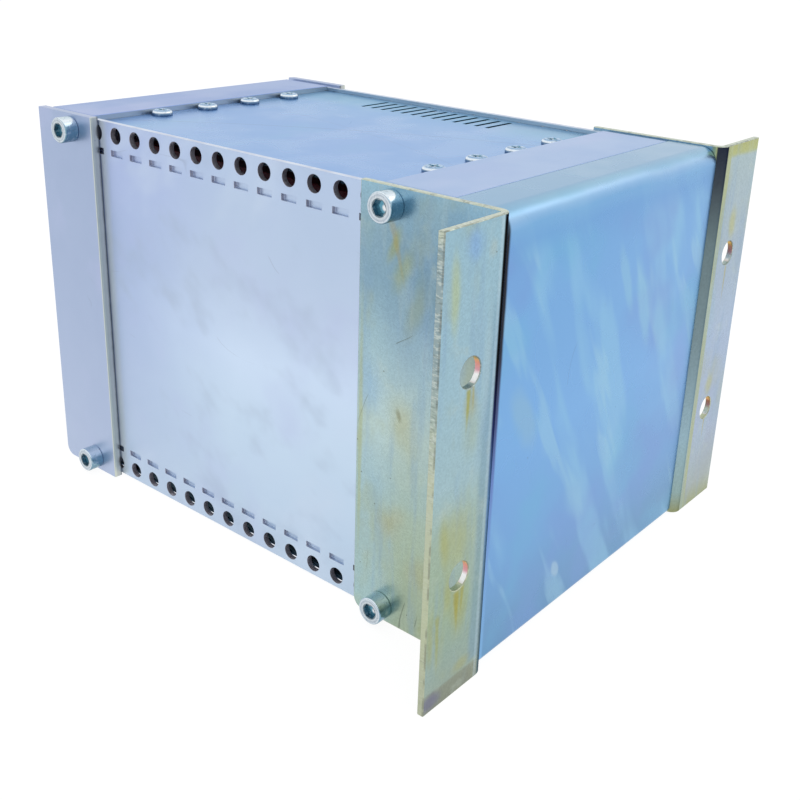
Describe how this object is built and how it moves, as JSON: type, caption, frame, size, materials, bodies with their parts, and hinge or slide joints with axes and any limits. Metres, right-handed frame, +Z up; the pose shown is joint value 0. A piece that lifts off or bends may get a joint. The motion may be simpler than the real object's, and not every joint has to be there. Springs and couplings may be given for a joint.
{
  "type": "sheet metal card chassis",
  "caption": "Small sheet metal chassis for plug-in cards: two perforated side plates joined by extruded rails, with vented covers, a blank front cover and screw-on mounting ears.",
  "frame": {"origin": "under the middle of the chassis, on the surface that it stands on: half way between its ears in X, half way from the ears' front faces to the ends of the rear strips in Y", "axes": "+X to the right seen from the ears, +Y from the ears towards the open end where cards go in, +Z up"},
  "size_m": [0.1694, 0.1954, 0.132],
  "materials": {
    "plate_aluminium": "plain rolled aluminium sheet, pale and satin, with faint scratches",
    "rail_aluminium": "extruded aluminium, pale and satin",
    "strip_aluminium": "cut aluminium bar, pale and satin, with bright cut edges",
    "cover_zinc": "zinc plated sheet steel, blue passivated, glossy, with iridescent streaks",
    "bracket_zinc": "zinc plated steel, yellow chromated, green-yellow over blue-grey, stained and scratched",
    "screw_steel": "bright zinc plated steel",
    "guide_plastic": "moulded plastic, dark red, matte"
  },
  "bodies": {
    "root": {"bottom_cover": "cover_zinc", "cap_screw_left_front_bottom": "screw_steel", "cap_screw_left_front_top": "screw_steel", "cap_screw_left_rear_bottom": "screw_steel", "cap_screw_left_rear_top": "screw_steel", "cap_screw_right_front_bottom": "screw_steel", "cap_screw_right_front_top": "screw_steel", "cap_screw_right_rear_bottom": "screw_steel", "cap_screw_right_rear_top": "screw_steel", "card_guide_bottom_1": "guide_plastic", "card_guide_bottom_2": "guide_plastic", "card_guide_bottom_3": "guide_plastic", "card_guide_bottom_4": "guide_plastic", "card_guide_bottom_5": "guide_plastic", "card_guide_top_1": "guide_plastic", "card_guide_top_2": "guide_plastic", "card_guide_top_3": "guide_plastic", "card_guide_top_4": "guide_plastic", "card_guide_top_5": "guide_plastic", "cover_screw_bottom_front_1": "screw_steel", "cover_screw_bottom_front_2": "screw_steel", "cover_screw_bottom_front_3": "screw_steel", "cover_screw_bottom_front_4": "screw_steel", "cover_screw_bottom_rear_1": "screw_steel", "cover_screw_bottom_rear_2": "screw_steel", "cover_screw_bottom_rear_3": "screw_steel", "cover_screw_bottom_rear_4": "screw_steel", "cover_screw_top_front_1": "screw_steel", "cover_screw_top_front_2": "screw_steel", "cover_screw_top_front_3": "screw_steel", "cover_screw_top_front_4": "screw_steel", "cover_screw_top_rear_1": "screw_steel", "cover_screw_top_rear_2": "screw_steel", "cover_screw_top_rear_3": "screw_steel", "cover_screw_top_rear_4": "screw_steel", "front_cover": "cover_zinc", "mounting_bracket_left": "bracket_zinc", "mounting_bracket_right": "bracket_zinc", "rail_front_bottom": "rail_aluminium", "rail_front_top": "rail_aluminium", "rail_rear_bottom": "rail_aluminium", "rail_rear_top": "rail_aluminium", "rear_strip_left": "strip_aluminium", "rear_strip_right": "strip_aluminium", "side_plate_left": "plate_aluminium", "side_plate_right": "plate_aluminium", "top_cover": "cover_zinc"}
  },
  "joints": []
}
